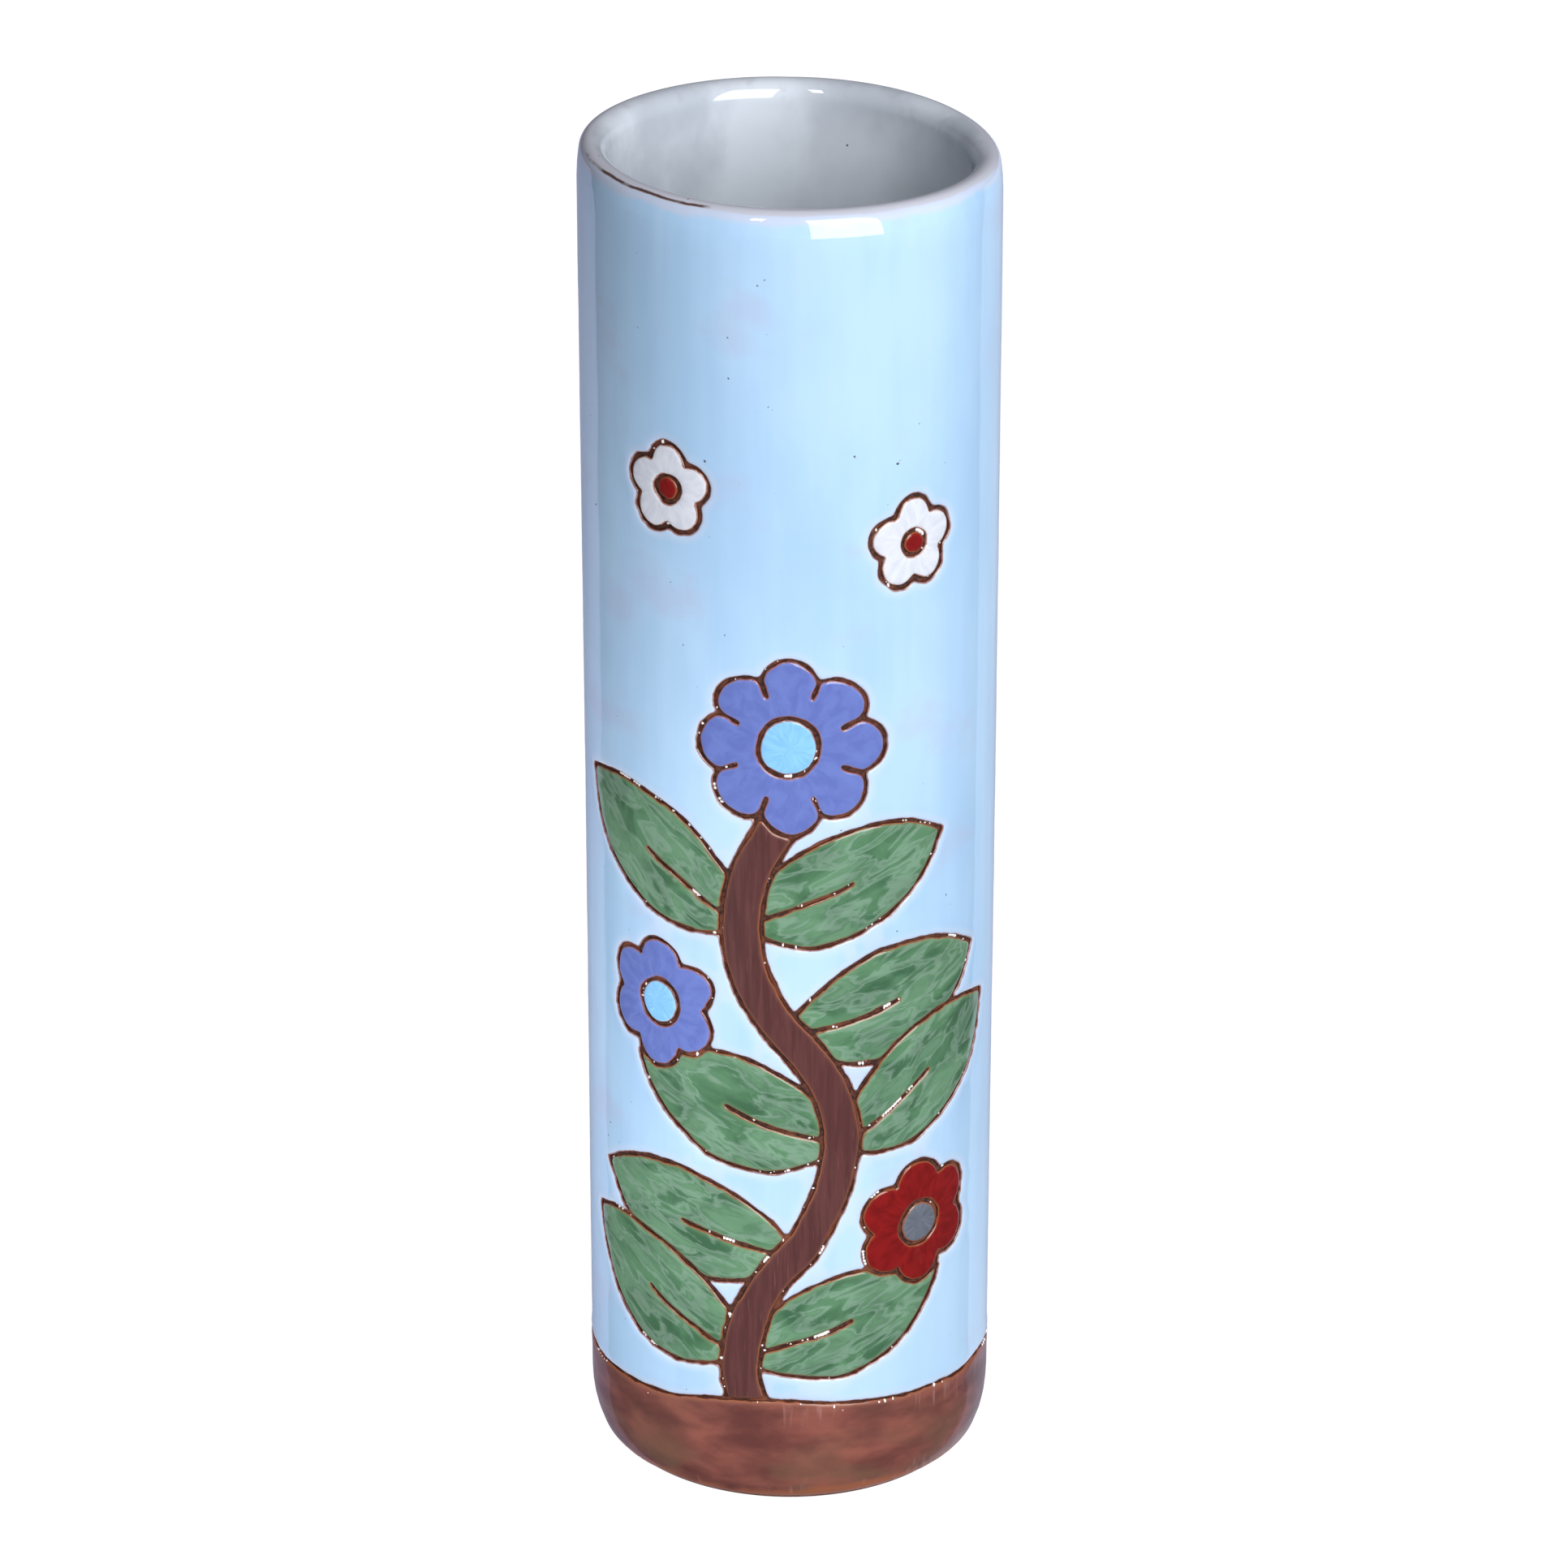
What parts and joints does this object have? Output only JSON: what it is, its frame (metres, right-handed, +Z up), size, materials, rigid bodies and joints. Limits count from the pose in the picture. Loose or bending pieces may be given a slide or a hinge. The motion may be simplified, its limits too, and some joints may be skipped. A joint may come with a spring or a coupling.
{
  "type": "cylinder vase",
  "caption": "Tall glazed earthenware cylinder vase with a sloping mouth, a drawn-in foot and scratched, colour-flooded plant decoration; stands free and holds cut flowers.",
  "frame": {"origin": "centre of the foot, on the surface the vase stands on", "axes": "+Z up along the vase's axis, -Y the decorated side, +X to the right of a viewer of that side"},
  "size_m": [0.0746, 0.0746, 0.2512],
  "materials": {
    "bare_clay": "matte fired red earthenware",
    "white_glaze": "glossy white",
    "earth_glaze": "satin red brown",
    "sky_glaze": "glossy pale blue",
    "umber_glaze": "glossy dark brown",
    "green_glaze": "glossy, brushed green",
    "periwinkle_glaze": "glossy",
    "turquoise_glaze": "glossy",
    "red_glaze": "glossy",
    "grey_glaze": "glossy",
    "blossom_white_glaze": "glossy"
  },
  "bodies": {
    "root": {"clay_base": "bare_clay", "clay_wall": "bare_clay", "ground_glaze": "earth_glaze", "leaf_1_glaze": "green_glaze", "leaf_2_glaze": "green_glaze", "leaf_3_glaze": "green_glaze", "leaf_4_glaze": "green_glaze", "leaf_5_glaze": "green_glaze", "leaf_6_glaze": "green_glaze", "leaf_7_glaze": "green_glaze", "leaf_8_glaze": "green_glaze", "left_bloom_eye_glaze": "turquoise_glaze", "left_bloom_petals_glaze": "periwinkle_glaze", "left_blossom_eye_glaze": "red_glaze", "left_blossom_petals_glaze": "blossom_white_glaze", "lining_glaze": "white_glaze", "lip_glaze": "white_glaze", "right_bloom_eye_glaze": "grey_glaze", "right_bloom_petals_glaze": "red_glaze", "right_blossom_eye_glaze": "red_glaze", "right_blossom_petals_glaze": "blossom_white_glaze", "seam_coil": "bare_clay", "sky_glaze": "sky_glaze", "stem_glaze": "umber_glaze", "top_bloom_eye_glaze": "turquoise_glaze", "top_bloom_petals_glaze": "periwinkle_glaze"}
  },
  "joints": []
}
